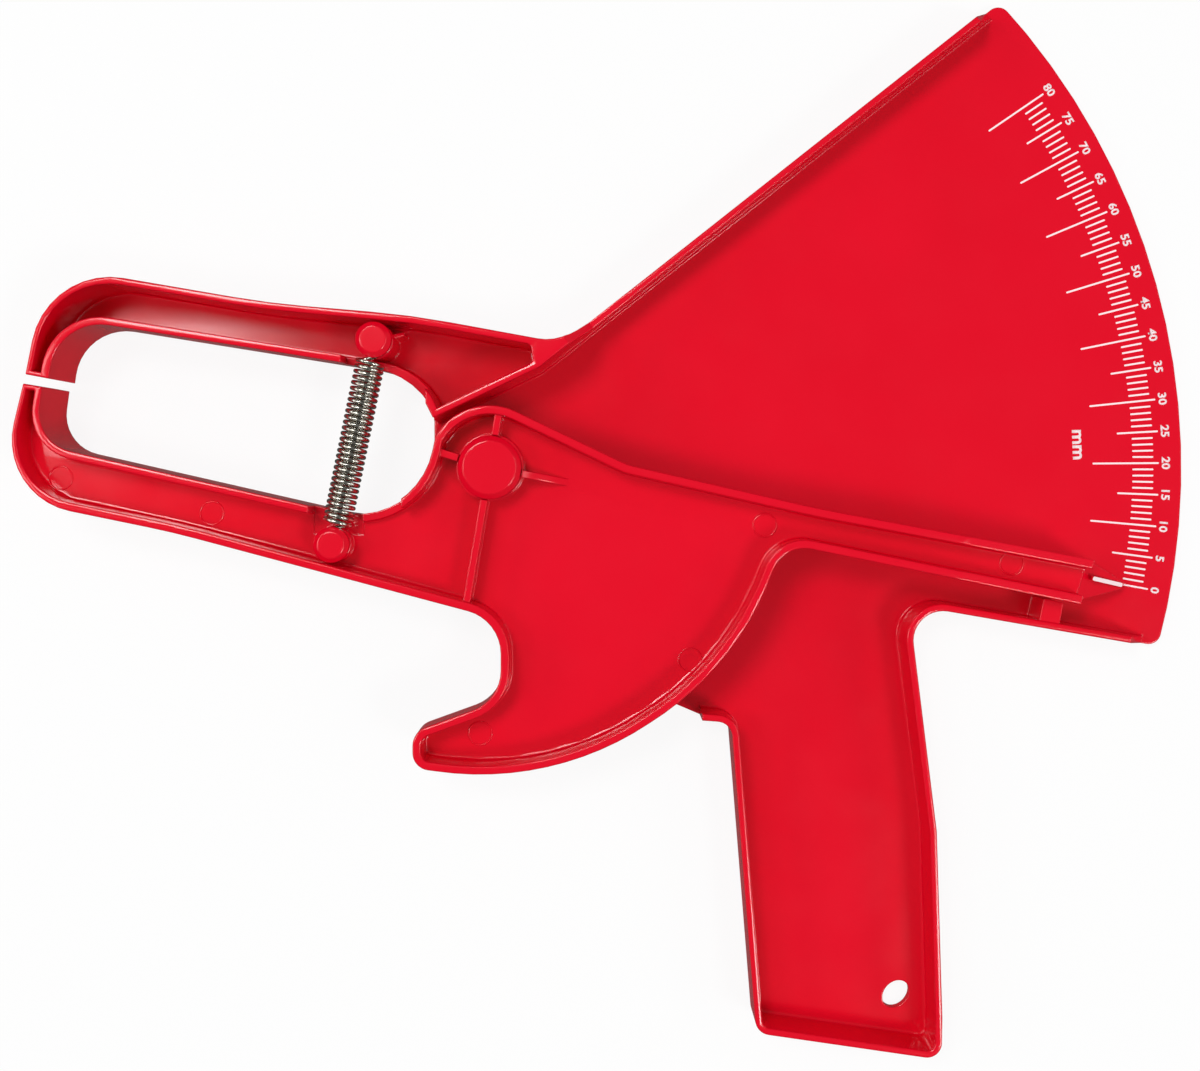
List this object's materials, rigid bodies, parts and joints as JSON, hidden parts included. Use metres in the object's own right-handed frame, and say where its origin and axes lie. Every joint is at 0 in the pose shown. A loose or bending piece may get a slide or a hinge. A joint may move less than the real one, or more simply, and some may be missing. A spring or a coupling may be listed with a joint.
{
  "type": "skinfold caliper",
  "caption": "Hand-held skinfold caliper: two moulded jaws on a pivot, trigger and pistol grip, coil spring, and a pointer sweeping a curved millimetre scale.",
  "frame": {"origin": "pivot axis of the two jaws, on the flat back of the scale plate", "axes": "+Z out of the open front of the trays along the pivot axis; -X towards the jaws; +Y from the grip towards the upper corner of the scale plate"},
  "size_m": [0.2719, 0.2467, 0.02],
  "materials": {
    "red_plastic": "glossy moulded",
    "spring_steel": "bright drawn wire"
  },
  "bodies": {
    "frame_body": {"frame": "red_plastic", "pivot_pin": "red_plastic", "upper_spring_pin": "red_plastic", "spring": "spring_steel"},
    "lever_body": {"lever": "red_plastic", "lower_spring_pin": "red_plastic"}
  },
  "joints": [
    {"name": "jaw_hinge", "type": "hinge", "parent": "frame_body", "child": "lever_body", "pos_m": [0, 0, 0.014], "axis": [0, 0, 1], "range_deg": [0, 44.8], "stiffness_Nm_per_rad": 0.3, "springref_deg": -160.43, "deforming": ["spring"]}
  ]
}
